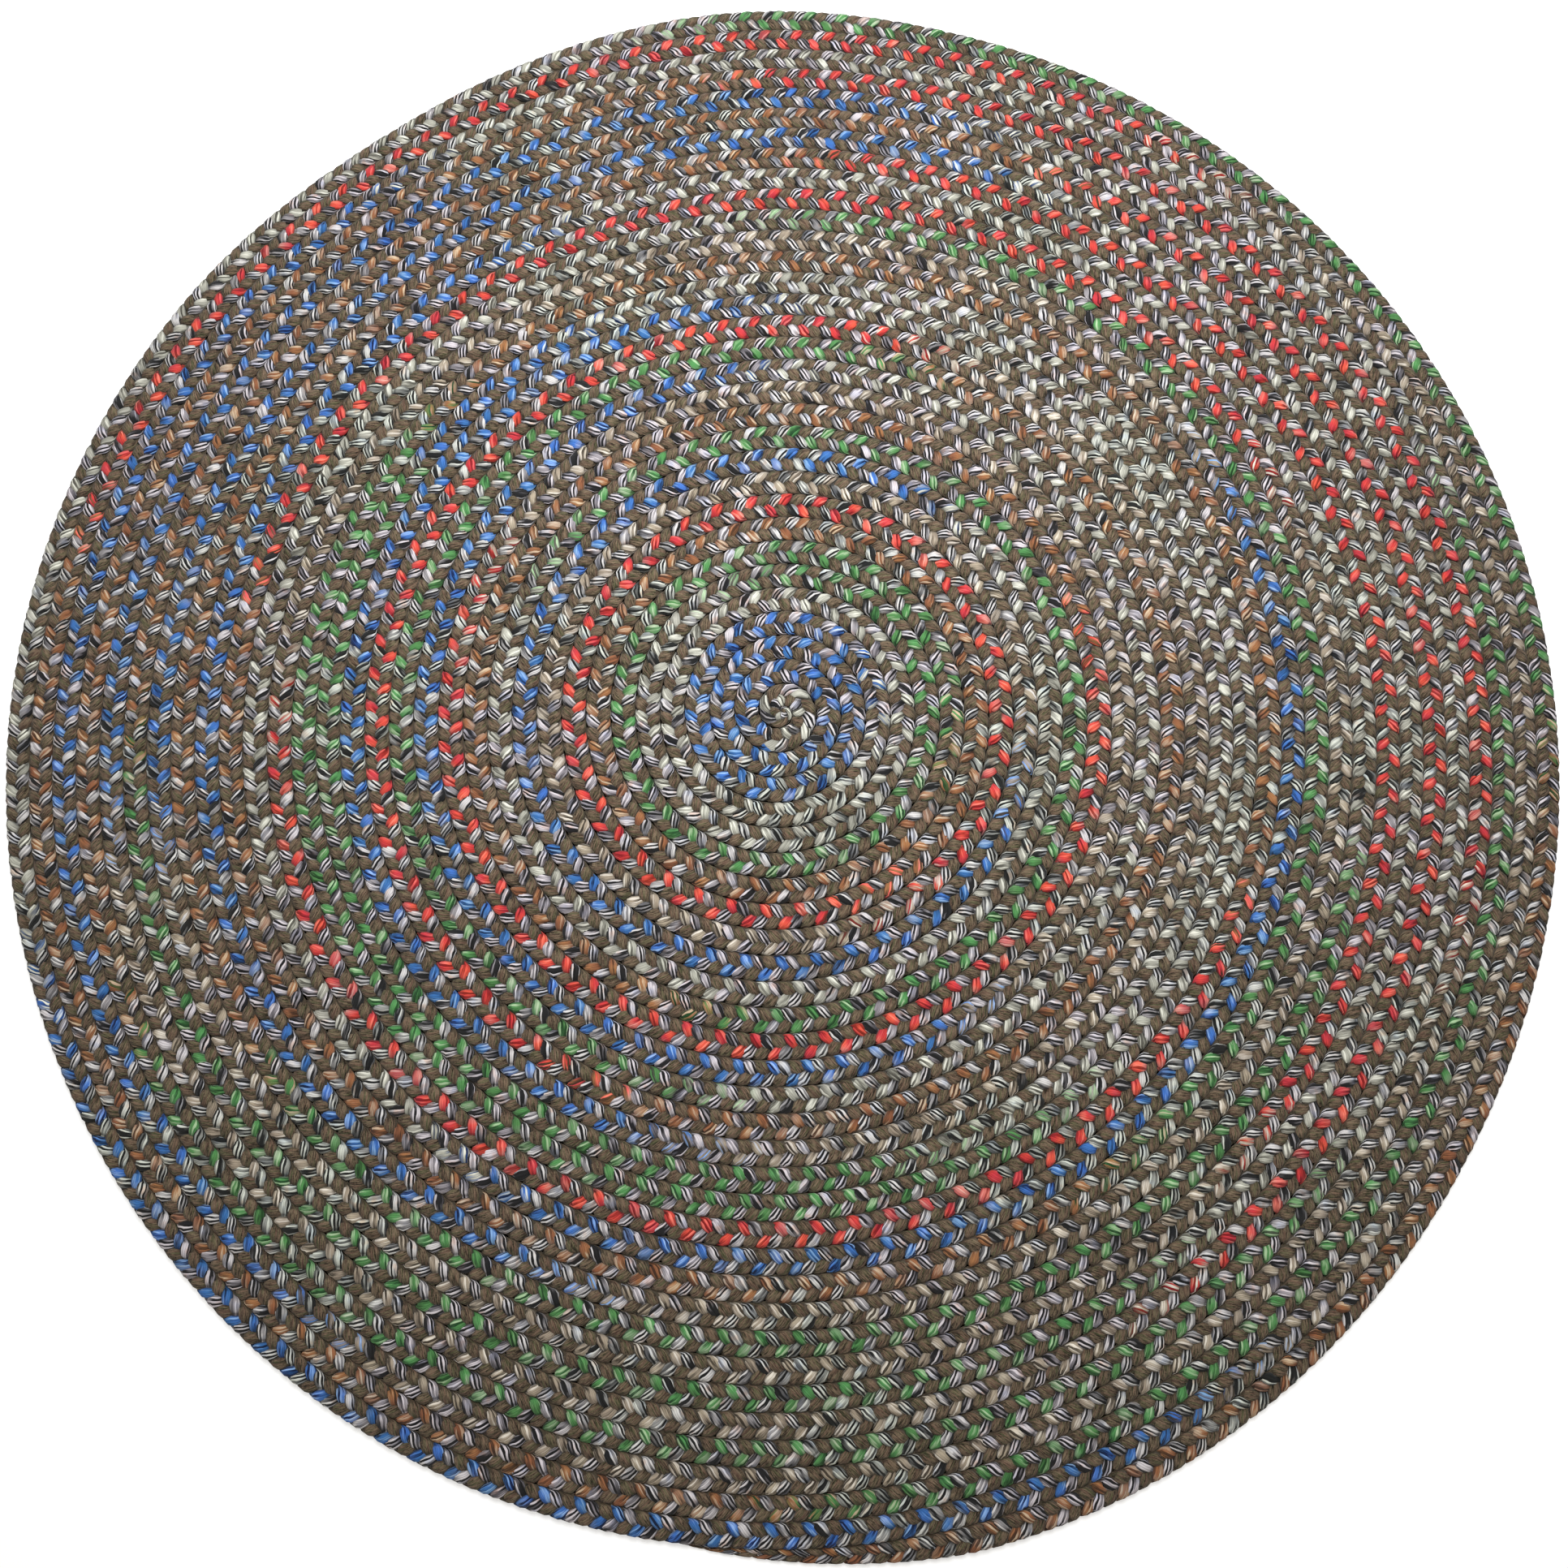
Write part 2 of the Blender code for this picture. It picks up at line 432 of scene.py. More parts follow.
@dataclass
class Strand:
    """One strand of the plait, a flattened bundle of yarn that swings across the braid, over and under."""

    plait: Plait
    wool: Wool
    lag: float                    # how far its lobes lie along the turn, in turns
    bulk: float                   # its width beside an even strand's
    lift: float                   # how far its middle goes up and down from the middle of the thickness
    taper: float                  # its width at either end of a lobe, as a share of the lobe's
    seed: int
    sides: int = 6
    # Half its width and height on its lobe, and half its height in the middle and at the braid's edge.
    lobe_half: Span = (0.0068, 0.0032)
    end_heights: Span = (0.0033, 0.0036)
    sharpness: float = 0.96       # how straight it runs between its bends: 0 is a plain wave and 1 a zigzag
    fullness: float = 0.85
    # Where its rings of points are, in turns since it went up: five for a lobe on top, one underneath.
    ring_shares: tuple[float, ...] = (0.000, 0.065, 0.130, 0.195, 0.260, 0.380)
    ring_upwards: tuple[float, ...] = (0.75, 1.0, 1.0, 1.0, 0.75, 0.0)
    overshoot: float = 0.02       # how far past the braid's ends it may go, in turns
    tip_share: float = 0.35       # what is left of its thickness at the tail's tip
    early: Unevenness = Unevenness(size=0.022, spacing=0.9, draw=0)    # how early its lobes come, in turns
    sway: Unevenness = Unevenness(size=0.07, spacing=0.7, draw=10)     # how far it swings aside, as a share
    rise: Unevenness = Unevenness(size=0.08, spacing=0.8, draw=20)     # how high it goes
    girth: Unevenness = Unevenness(size=0.13, spacing=0.6, draw=30)    # how wide it is

    def straighter(self, wave: np.ndarray) -> np.ndarray:
        """A sine or cosine wave between -1 and 1, made nearly a zigzag."""
        return np.arcsin(self.sharpness * wave) / math.asin(self.sharpness)

    def path(self, turns: np.ndarray) -> tuple[np.ndarray, np.ndarray]:
        """The strand's middle line in a straight braid.

        It lies the swing from the braid's middle line, times the sine of the turn, made straighter by an
        arc sine. A hyperbolic tangent of a cosine shifts it by half the rows' shift, back on the outer row's
        lobes and ahead on the inner row's. The reach, times the cosine of twice the turn, made straighter
        too, takes it back at the start of each lobe on top and ahead at its end. It lies the lift from the
        middle of the thickness, times the sine of twice the turn, made flatter by a hyperbolic tangent.

        Args:
            turns: turns of the plait since the heart.

        Returns:
            The points along, aside and up, shape (n, 3), and the angle within the turn.
        """
        plait = self.plait
        sway = 1.0 + self.sway.along(turns, self.seed)
        uneven = 1.0 + self.rise.along(turns, self.seed)
        angle = TURN * (turns - self.lag + self.early.along(turns, self.seed))
        aside = plait.swing * sway * self.straighter(np.sin(angle))
        row = np.tanh(plait.row_hold * np.cos(angle - OUTER_LOBE))
        ahead = -plait.reach * self.straighter(np.cos(2.0 * angle))
        along = plait.length_after(turns - 0.5 * plait.row_shift * row + ahead)
        wave = np.tanh(plait.level * np.sin(2.0 * angle)) / math.tanh(plait.level)
        height = 0.5 * plait.coil.thickness + self.lift * uneven * wave
        width = plait.coil.braid_width
        return np.stack([along * width, aside * width, height], axis=-1), angle

    def section(self, turns: np.ndarray, angle: np.ndarray) -> tuple[np.ndarray, np.ndarray]:
        """Half the strand's width and half its height along it.

        The squared cosine of twice the angle is the share of its size in the braid's middle, where the cosine
        is above zero, and at the edge, where it is below. What is left is the share of its size on the lobe.

        Args:
            turns: turns of the plait since the heart.
            angle: the angle within the turn.

        Returns:
            Half the width and half the height, in metres.
        """
        uneven = 1.0 + self.girth.along(turns, self.seed)
        wave = np.cos(2.0 * angle)
        middle, edge = np.maximum(wave, 0.0) ** 2, np.minimum(wave, 0.0) ** 2
        width, height = self.lobe_half
        half_width = width * (1.0 - (1.0 - self.taper) * (middle + edge))
        half_height = height + (self.end_heights[0] - height) * middle + (self.end_heights[1] - height) * edge
        return half_width * self.bulk * uneven, half_height

    def rings(self, half: Half) -> tuple[np.ndarray, np.ndarray]:
        """The rings of points of one half of the strand. The halves share a ring that lies underneath.

        Args:
            half: which of the two.

        Returns:
            The turns of the plait at each ring, and 1 where it is on top, 0 where it is underneath.
        """
        start, end = self.plait.turn_range()
        lobes = np.arange(math.floor(2.0 * (start - self.lag)), math.ceil(2.0 * (end - self.lag)) + 1)
        turns = (0.5 * lobes[:, None] + np.array(self.ring_shares)[None, :] + self.lag).ravel()
        upwards = np.tile(self.ring_upwards, len(lobes))
        joint = len(self.ring_shares) * (len(lobes) // 2)
        part = slice(None, joint) if half is Half.INNER else slice(joint - 1, None)
        turns, upwards = turns[part], upwards[part]
        kept = (turns > start - self.overshoot) & (turns < end + self.overshoot)
        return turns[kept], upwards[kept]

    def build(self, half: Half) -> bpy.types.Object:
        """Builds one half of the strand as a closed tube, with its own map.

        On the dyed wool, an attribute says where in its runs of colour each ring of points is.

        Args:
            half: which of the two.

        Returns:
            The piece.
        """
        turns, upwards = self.rings(half)
        path, angle = self.path(turns)
        half_width, half_height = self.section(turns, angle)
        around = ring_angles(upwards, self.sides)
        straight = carried_rings(path, half_width, half_height, around, self.fullness)
        points = self.plait.laid(straight[..., 0], straight[..., 1], straight[..., 2])
        tail = self.plait.tail_after(turns)
        points[..., 2] *= (self.tip_share + (1.0 - self.tip_share) * tail)[:, None]
        name = f"{self.wool.name.lower()}_strand_{half.value}"
        piece = new_mesh_object(name, points.reshape(-1, 3), tube_faces(len(turns), self.sides))
        layer = piece.data.uv_layers.new(name=STRAND_MAP)
        layer.data.foreach_set("uv", tube_map(turns - self.lag, around).astype(np.float32).ravel())
        if self.wool is Wool.DYED:
            run = DyeRepeat().run(self.plait.length_after(turns))
            attribute = piece.data.attributes.new(DYE_ATTRIBUTE, "FLOAT", "POINT")
            attribute.data.foreach_set("value", np.repeat(run, self.sides).astype(np.float32))
        return piece


@dataclass(frozen=True)
class DyeRepeat:
    """How the dyed strand's colours repeat: a skein to the splice, and another after it. In braid widths."""

    splice: float = 1076.0
    plain_heart: float = 4.0      # up to here the strand is cream, whatever its place in the repeat
    heart_run: float = 1.0 + 3.5 / 6.0    # the middle of a cream
    first_start: float = 202.0    # where a repeat starts in the first skein, and how many have passed there
    first_passed: float = 2.0
    first_repeat: float = 311.0
    second_start: float = 1253.0
    second_passed: float = 5.0
    second_repeat: float = 332.5
    # The braid's take-up is uneven: (length along the braid, how much later the colours come there).
    lateness: tuple[tuple[float, float], ...] = (
        (100.0, 0.0),
        (310.0, 5.5),
        (520.0, 6.5),
        (830.0, 3.5),
        (1030.0, -1.5),
        (1250.0, 0.5),
        (1480.0, -0.5),
        (1900.0, -5.5),
        (2600.0, -4.0),
        (2900.0, -2.5),
        (3050.0, 7.5),
        (3200.0, 8.5),
    )
    tail_run: float = 10.985      # the tail stays in this place of the repeat, the end of the rust

    def run(self, length: np.ndarray) -> np.ndarray:
        """How many repeats of the dye have passed at a length along the braid.

        It is how far the place is past the skein's known start, divided by the repeat, and added to how many
        had passed there. A repeat starts with the red.

        Args:
            length: the length along the braid, in braid widths.

        Returns:
            The repeats passed, whose fraction is the place within the repeat.
        """
        known = np.array(self.lateness)
        even = length - np.interp(length, known[:, 0], known[:, 1])
        first = (even - self.first_start) / self.first_repeat + self.first_passed
        second = (even - self.second_start) / self.second_repeat + self.second_passed
        run = np.where(length < self.splice, first, np.minimum(second, self.tail_run))
        return np.where(length < self.plain_heart, self.heart_run, run)


@dataclass
class Bed:
    """The middle of the braid, where its strands are pressed together and sewn: a thin flat band."""

    plait: Plait
    steps_per_round: int = 34
    overlap: float = 0.03         # past the braid's edges into the next round, as a share of its width
    rim_inset: float = 0.15       # short of the edge along the outermost round, as the same share
    rim_rounds: float = 1.1       # how long before the tip it draws back to that, and over how long
    rim_ease: float = 0.1
    half_height: float = 0.0026
    edge_share: float = 0.6       # what is left of its height along its edges
    tip_share: float = 0.35       # how high its middle still lies at the tail's tip
    flat_area: float = 2.63       # square metres

    def build(self) -> bpy.types.Object:
        """Builds the band as a closed tube with four sides, wide and low, carried along the spiral.

        Returns:
            The piece.
        """
        coil = self.plait.coil
        steps = int(round((coil.last_round - coil.first_round) * self.steps_per_round))
        rounds = np.linspace(coil.first_round, coil.last_round, steps + 1)
        rim = np.clip((rounds - (coil.last_round - self.rim_rounds)) / self.rim_ease, 0.0, 1.0)
        outer = 1.0 + self.overlap - (self.overlap + self.rim_inset) * rim
        tail = coil.tail(rounds)
        middle = 0.5 * coil.thickness * (self.tip_share + (1.0 - self.tip_share) * tail)
        rise = self.edge_share * (self.half_height * tail)
        inner = np.full_like(rounds, -self.overlap)
        corners = ((outer, rise), (inner, rise), (inner, -rise), (outer, -rise))
        rings = [coil.point(rounds, across, middle + level) for across, level in corners]
        points = np.stack(rings, axis=1).reshape(-1, 3)
        return new_mesh_object("sewn_middle", points, tube_faces(len(rounds), len(corners)))


# --------------------------------------------------------------------------------------------------------
# Shader building blocks
# --------------------------------------------------------------------------------------------------------


class Nodes:
    """A short way to add and join nodes in one tree."""

    # Where a Mix node that mixes colours has the two colours, and where its result.
    mix_inputs: tuple[int, int] = (6, 7)
    mix_output: int = 2

    def __init__(self, tree: bpy.types.NodeTree) -> None:
        """Keeps the tree that the nodes go into."""
        self.tree = tree

    def add(self, kind: str, **settings: object) -> Node:
        """Adds a node and sets its properties.

        Args:
            kind: the node's type.
            settings: its properties, by name.

        Returns:
            The node.
        """
        node = self.tree.nodes.new(kind)
        for name, value in settings.items():
            setattr(node, name, value)
        return node

    def join(self, value: object, socket: Socket) -> None:
        """Feeds a socket from another node's socket, or sets it to a plain value.

        Args:
            value: the other socket, or the plain value.
            socket: the input that it goes into.
        """
        if isinstance(value, Socket):
            self.tree.links.new(value, socket)
        else:
            socket.default_value = value

    def math(self, operation: str, *values: object, clamp: bool = False) -> Socket:
        """Adds a Math node.

        Args:
            operation: what it does.
            values: up to three sockets or numbers.
            clamp: whether its result is held between 0 and 1.

        Returns:
            Its result.
        """
        node = self.add("ShaderNodeMath", operation=operation, use_clamp=clamp)
        for value, socket in zip(values, node.inputs):
            self.join(value, socket)
        return node.outputs[0]

    def combine(self, x: object, y: object, z: object) -> Socket:
        """Makes a vector.

        Args:
            x: a socket or a number.
            y: another one.
            z: another one.

        Returns:
            The vector.
        """
        node = self.add("ShaderNodeCombineXYZ")
        for value, socket in zip((x, y, z), node.inputs):
            self.join(value, socket)
        return node.outputs[0]

    def place(self) -> Socket:
        """The place in the piece's own space, in metres."""
        return self.add("ShaderNodeTexCoord").outputs["Object"]

    def noise(self, vector: object, scale: float, detail: float = 0.0) -> Socket:
        """Adds a Noise texture.

        Args:
            vector: where it is read.
            scale: how many of its cells lie in one unit.
            detail: how many finer layers it has.

        Returns:
            Its value, about 0.5.
        """
        node = self.add("ShaderNodeTexNoise")
        self.join(vector, node.inputs["Vector"])
        node.inputs["Scale"].default_value = scale
        node.inputs["Detail"].default_value = detail
        return node.outputs["Fac"]

    def ramp(self, value: object, stops: Sequence[tuple[float, Colour]]) -> Socket:
        """Adds a Color Ramp.

        Args:
            value: where along the ramp.
            stops: its places and the colours there.

        Returns:
            Its colour.
        """
        node = self.add("ShaderNodeValToRGB")
        node.color_ramp.interpolation = "LINEAR"
        elements = node.color_ramp.elements
        while len(elements) > 1:
            elements.remove(elements[-1])
        elements[0].position, elements[0].color = stops[0][0], (*stops[0][1], 1.0)
        for place, colour in stops[1:]:
            elements.new(place).color = (*colour, 1.0)
        self.join(value, node.inputs["Fac"])
        return node.outputs["Color"]

    def mix(self, share: object, first: object, second: object, blend: str = "MIX") -> Socket:
        """Mixes two colours.

        Args:
            share: how much of the second there is.
            first: a socket or a colour.
            second: another one.
            blend: how they are mixed.

        Returns:
            The mixed colour.
        """
        node = self.add("ShaderNodeMix", data_type="RGBA", blend_type=blend)
        self.join(share, node.inputs["Factor"])
        for value, place in zip((first, second), self.mix_inputs):
            self.join((*value, 1.0) if isinstance(value, tuple) else value, node.inputs[place])
        return node.outputs[self.mix_output]

    def spread(self, value: object, given: Span, wanted: Span) -> Socket:
        """Maps a value from one range to another, and holds it within that.

        Args:
            value: the value.
            given: two values of it.
            wanted: what they become.

        Returns:
            The mapped value.
        """
        node = self.add("ShaderNodeMapRange")
        for number, socket in zip((value, *given, *wanted), node.inputs):
            self.join(number, socket)
        return node.outputs[0]


def new_group(name: str, inputs: dict[str, float], outputs: Sequence[str]) -> bpy.types.NodeTree:
    """Makes an empty shader node group, whose sockets are all single values.

    Args:
        name: the group's name.
        inputs: the names of its inputs, with their defaults.
        outputs: the names of its outputs.

    Returns:
        The group.
    """
    group = bpy.data.node_groups.new(name, "ShaderNodeTree")
    for label, value in inputs.items():
        socket = group.interface.new_socket(label, in_out="INPUT", socket_type="NodeSocketFloat")
        socket.default_value = value
    for label in outputs:
        group.interface.new_socket(label, in_out="OUTPUT", socket_type="NodeSocketFloat")
    return group


@dataclass(frozen=True)
class YarnGroup:
    """The yarns that lie side by side in a strand, as a group of nodes on the strand's own map.

    Its inputs are the first four values of a YarnLay. Tone is a shade from 0 to 1 for each yarn, Height its
    round top from 0 in the creases to 1, Fibre the fine streaks along it, and Fleck broader ones. Crown rises
    from 0 where the strand goes down between the others to 1 at the top of a lobe. Open is 1 on the face of
    each lobe, and falls to 0 on its flanks and right at its ends.
    """

    waver_rate: float = 6.0       # how many cells of noise the yarns waver by, in a turn of the plait
    waver: float = 1.6            # how far they waver at the most, in yarns
    shade_gap: float = 5.37       # how many cells two neighbours are apart in the noise that shades them
    shade_layer: float = 0.5      # at which height that noise is read
    shade_range: Span = (0.27, 0.73)    # its values for the darkest and the palest tone
    fibre_along: float = 11.0     # how many cells of noise the fibres have in a turn of the plait
    fibre_around: float = 7.0     # and from a strand's middle to its side
    fleck_aside: Place = (31.0, 17.0, 5.0)    # how far from the fibres' noise that of the flecks is read
    fleck_scale: float = 0.55     # how fine the flecks are beside the fibres
    flank: Span = (0.80, 0.98)    # the cosines of the angle round a lobe at which Open is 1 and 0
    lobe_end: Span = (0.05, 0.40)    # the values of Crown near a lobe's end at which Open is 0 and 1

    def yarn_at(self, nodes: Nodes, given: Sockets, along: Socket, around: Socket, circle: Pair) -> Socket:
        """How many yarns a place is round the strand from the first one, less whole rounds.

        Args:
            nodes: the group's nodes.
            given: the group's inputs.
            along: turns of the plait along the strand.
            around: the share of the way round it.
            circle: the cosine and the sine of the angle round it.

        Returns:
            The yarn's number, with how far across it the place is as its fraction.
        """
        wavering = nodes.combine(nodes.math("MULTIPLY", along, self.waver_rate), *circle)
        waver = nodes.math("MULTIPLY", nodes.noise(wavering, 1.0, 1.0), self.waver)
        turned = nodes.math("MULTIPLY_ADD", along, given["Twist"], waver)
        counted = nodes.math("MULTIPLY_ADD", around, given["Yarns"], turned)
        return nodes.math("FLOORED_MODULO", counted, given["Yarns"])

    def tone(self, nodes: Nodes, given: Sockets, along: Socket, number: Socket) -> Socket:
        """The shade of a yarn: a noise of its own, and paler or darker for every other yarn.

        Args:
            nodes: the group's nodes.
            given: the group's inputs.
            along: turns of the plait along the strand.
            number: the yarn's number.

        Returns:
            The shade, from 0 to 1.
        """
        apart = nodes.math("MULTIPLY", number, self.shade_gap)
        place = nodes.combine(apart, nodes.math("MULTIPLY", along, given["Change"]), self.shade_layer)
        paler = nodes.math("SUBTRACT", nodes.math("MODULO", number, 2.0), 0.5)
        own = nodes.spread(nodes.noise(place, 1.0), self.shade_range, (0.0, 1.0))
        tone = nodes.math("MULTIPLY_ADD", paler, given["Contrast"], own)
        return nodes.math("MAXIMUM", nodes.math("MINIMUM", tone, 1.0), 0.0)

    def streaks(self, nodes: Nodes, along: Socket, circle: Pair) -> Pair:
        """The fibres and the flecks: noises that are drawn out along the strand.

        Args:
            nodes: the group's nodes.
            along: turns of the plait along the strand.
            circle: the cosine and the sine of the angle round it.

        Returns:
            The fibres and the flecks, both about 0.5.
        """
        round_it = [nodes.math("MULTIPLY", part, self.fibre_around) for part in circle]
        streak = nodes.combine(nodes.math("MULTIPLY", along, self.fibre_along), *round_it)
        aside = nodes.add("ShaderNodeVectorMath", operation="ADD")
        nodes.join(streak, aside.inputs[0])
        nodes.join(self.fleck_aside, aside.inputs[1])
        return nodes.noise(streak, 1.0, 2.0), nodes.noise(aside.outputs[0], self.fleck_scale, 1.0)

    def build(self) -> bpy.types.NodeTree:
        """Builds the group.

        A yarn's height is the root of one less the square of how far the place is from its middle, in half
        widths. Crown is the absolute sine of twice the angle within the turn.

        Returns:
            The group.
        """
        group = new_group("yarns", {"Yarns": 10.0, "Twist": 2.0, "Change": 3.0, "Contrast": 0.0},
                          ("Tone", "Height", "Fibre", "Fleck", "Crown", "Open"))
        nodes = Nodes(group)
        given = nodes.add("NodeGroupInput").outputs
        result = nodes.add("NodeGroupOutput").inputs
        place = nodes.add("ShaderNodeSeparateXYZ")
        nodes.join(nodes.add("ShaderNodeUVMap", uv_map=STRAND_MAP).outputs[0], place.inputs[0])
        along, around = place.outputs[0], place.outputs[1]
        angle = nodes.math("MULTIPLY", around, TURN)
        circle = (nodes.math("COSINE", angle), nodes.math("SINE", angle))
        yarn = self.yarn_at(nodes, given, along, around, circle)
        beside = nodes.math("MULTIPLY_ADD", nodes.math("FRACT", yarn), 2.0, -1.0)
        round_top = nodes.math("SUBTRACT", 1.0, nodes.math("POWER", beside, 2.0))
        nodes.join(nodes.math("SQRT", round_top, clamp=True), result["Height"])
        nodes.join(self.tone(nodes, given, along, nodes.math("FLOOR", yarn)), result["Tone"])
        fibre, fleck = self.streaks(nodes, along, circle)
        nodes.join(fibre, result["Fibre"])
        nodes.join(fleck, result["Fleck"])
        # Crown and Open are masks for the shade and highlight that the wools paint in
        crown = nodes.math("ABSOLUTE", nodes.math("SINE", nodes.math("MULTIPLY", along, 2.0 * TURN)))
        nodes.join(crown, result["Crown"])
        face = nodes.spread(nodes.math("ABSOLUTE", circle[0]), self.flank, (1.0, 0.0))
        ends = nodes.spread(crown, self.lobe_end, (0.0, 1.0))
        nodes.join(nodes.math("MULTIPLY", face, ends), result["Open"])
        return group


@dataclass(frozen=True)
class YarnLay:
    """How the yarns lie in a strand, and how much shade is painted between them."""

    yarns: float                  # how many lie round the strand
    twist: float                  # how many of them it turns by in a turn of the plait
    change: float                 # how often a yarn changes its shade in a turn
    contrast: float               # how much every other yarn is paler than the ones beside it
    height: float                 # how high they stand, in metres
    creases: float                # painted shade: the share of the colour left in the creases between them
    closed: float                 # painted shade: the share left where the strand isn't open


@dataclass(frozen=True)
class Weaver:
    """Makes the wools' materials, with the one group that they share."""

    group: bpy.types.NodeTree
    sheen_roughness: float = 0.6
    specular: float = 0.15
    fibre_height: float = 0.45    # the fibres' height beside the yarns'
    crease_top: float = 0.75      # how high up a yarn its painted crease shade reaches
    deep: float = 0.67            # painted shade: the share of the colour where the strand goes down between others
    top_highlight: float = 1.11           # painted highlight: the same at the top of a lobe, above 1 to pale it

    def start(self, name: str, roughness: float, sheen: float) -> tuple[Nodes, Node, Material]:
        """Starts a material with a Principled shader, its plain values set on its own sockets.

        Args:
            name: the material's name.
            roughness: how dull it is, from 0 to 1.
            sheen: how much light its fuzz catches, from 0 to 1.

        Returns:
            The material's nodes, its shader and the material.
        """
        material = bpy.data.materials.new(name)
        material.use_nodes = True
        shader = material.node_tree.nodes["Principled BSDF"]
        shader.inputs["Roughness"].default_value = roughness
        shader.inputs["Sheen Weight"].default_value = sheen
        shader.inputs["Sheen Roughness"].default_value = self.sheen_roughness
        shader.inputs["Specular IOR Level"].default_value = self.specular
        return Nodes(material.node_tree), shader, material

    def place_yarns(self, nodes: Nodes, lay: YarnLay) -> Sockets:
        """Places the shared group in a material with a wool's own values.

        Args:
            nodes: the material's nodes.
            lay: how the wool's yarns lie.

        Returns:
            The placed group's outputs.
        """
        node = nodes.add("ShaderNodeGroup", node_tree=self.group)
        given = (lay.yarns, lay.twist, lay.change, lay.contrast)
        for name, value in zip(("Yarns", "Twist", "Change", "Contrast"), given):
            node.inputs[name].default_value = value
        return node.outputs

    def paint_shade(self, nodes: Nodes, colour: Socket, yarns: Sockets, lay: YarnLay) -> Socket:
        """Paints shade into a colour in creases and where strands close or go down, and a highlight that
        pales the lobes' tops a bit.

        Args:
            nodes: the material's nodes.
            colour: the wool's own colour.
            yarns: the placed group's outputs.
            lay: how the wool's yarns lie.

        Returns:
            The colour with its painted shade and highlight.
        """
        # painted shade in the creases between yarns
        crease = nodes.spread(yarns["Height"], (0.0, self.crease_top), (lay.creases, 1.0))
        # painted shade where the strand closes on others, at the flanks and ends of its lobes
        shade = nodes.math("MULTIPLY", crease, nodes.spread(yarns["Open"], (0.0, 1.0), (lay.closed, 1.0)))
        # painted shade where the strand goes down between others, painted highlight on the lobes' tops
        crown_shade = nodes.spread(yarns["Crown"], (0.0, 1.0), (self.deep, self.top_highlight))
        shade = nodes.math("MULTIPLY", shade, crown_shade)
        return nodes.mix(1.0, colour, nodes.combine(shade, shade, shade), "MULTIPLY")

    def finish(self, nodes: Nodes, shader: Node, colour: Socket, yarns: Sockets, lay: YarnLay) -> None:
        """Feeds a shader with a wool's colour, with painted shade and highlight, and raises its yarns and
        fibres by a Bump node.

        Args:
            nodes: the material's nodes.
            shader: its Principled shader.
            colour: the wool's own colour.
            yarns: the placed group's outputs.
            lay: how the wool's yarns lie.
        """
        nodes.join(self.paint_shade(nodes, colour, yarns, lay), shader.inputs["Base Color"])
        bump = nodes.add("ShaderNodeBump")
        bump.inputs["Strength"].default_value = 1.0
        bump.inputs["Distance"].default_value = lay.height
        height = nodes.math("MULTIPLY_ADD", yarns["Fibre"], self.fibre_height, yarns["Height"])
        nodes.join(height, bump.inputs["Height"])
        nodes.join(bump.outputs[0], shader.inputs["Normal"])


@dataclass(frozen=True)
class Patches:
    """Patches of a colour, where a noise's value is past a limit."""

    colour: Colour
    begin: float                  # the noise's value at their edges
    full: float                   # its value from which they have the most of their colour
    most: float = 1.0             # how much that is

    def share(self, nodes: Nodes, noise: Socket) -> Socket:
        """How much of the patches' colour a place has, by the noise there."""
        return nodes.spread(noise, (self.begin, self.full), (0.0, self.most))


@dataclass(frozen=True)
class BrownWool:
    """The brown heathered wool: soft olive brown, with fine lighter, reddish and greenish fibres."""

    dark: Colour = (0.018, 0.0130, 0.0075)
    light: Colour = (0.215, 0.156, 0.102)
    reddish: Patches = Patches((0.165, 0.092, 0.066), 0.53, 0.68, 0.55)
    greenish: Patches = Patches((0.088, 0.100, 0.043), 0.46, 0.32, 0.55)
    roughness: float = 0.95
    sheen: float = 0.10
    lay: YarnLay = YarnLay(yarns=14.0, twist=2.5, change=4.0, contrast=0.0, height=0.0003,
                           creases=0.92, closed=0.80)
    fuzz_scale: float = 620.0     # how many cells of the fuzz's noise lie in a metre
    fuzz_share: float = 0.9       # how far the fuzz, the fibres and the yarns' tones make it lighter
    fibre_share: float = 3.1
    tone_share: float = 0.42
    tone_shift: float = -1.72

    def make(self, weaver: Weaver) -> Material:
        """Builds the material, light where the fuzz, the fibres and the yarn's tone add up to much.

        Args:
            weaver: what the wools share.

        Returns:
            The material.
        """
        nodes, shader, material = weaver.start("brown_wool", self.roughness, self.sheen)
        yarns = weaver.place_yarns(nodes, self.lay)
        noise = nodes.noise(nodes.place(), self.fuzz_scale, 1.0)
        fuzz = nodes.math("MULTIPLY_ADD", noise, self.fuzz_share, self.tone_shift)
        fibres = nodes.math("MULTIPLY_ADD", yarns["Fibre"], self.fibre_share, fuzz)
        tone = nodes.math("MULTIPLY_ADD", yarns["Tone"], self.tone_share, fibres, clamp=True)
        base = nodes.mix(tone, self.dark, self.light)
        for patches in (self.reddish, self.greenish):
            base = nodes.mix(patches.share(nodes, yarns["Fleck"]), base, patches.colour)
        weaver.finish(nodes, shader, base, yarns, self.lay)
        return material


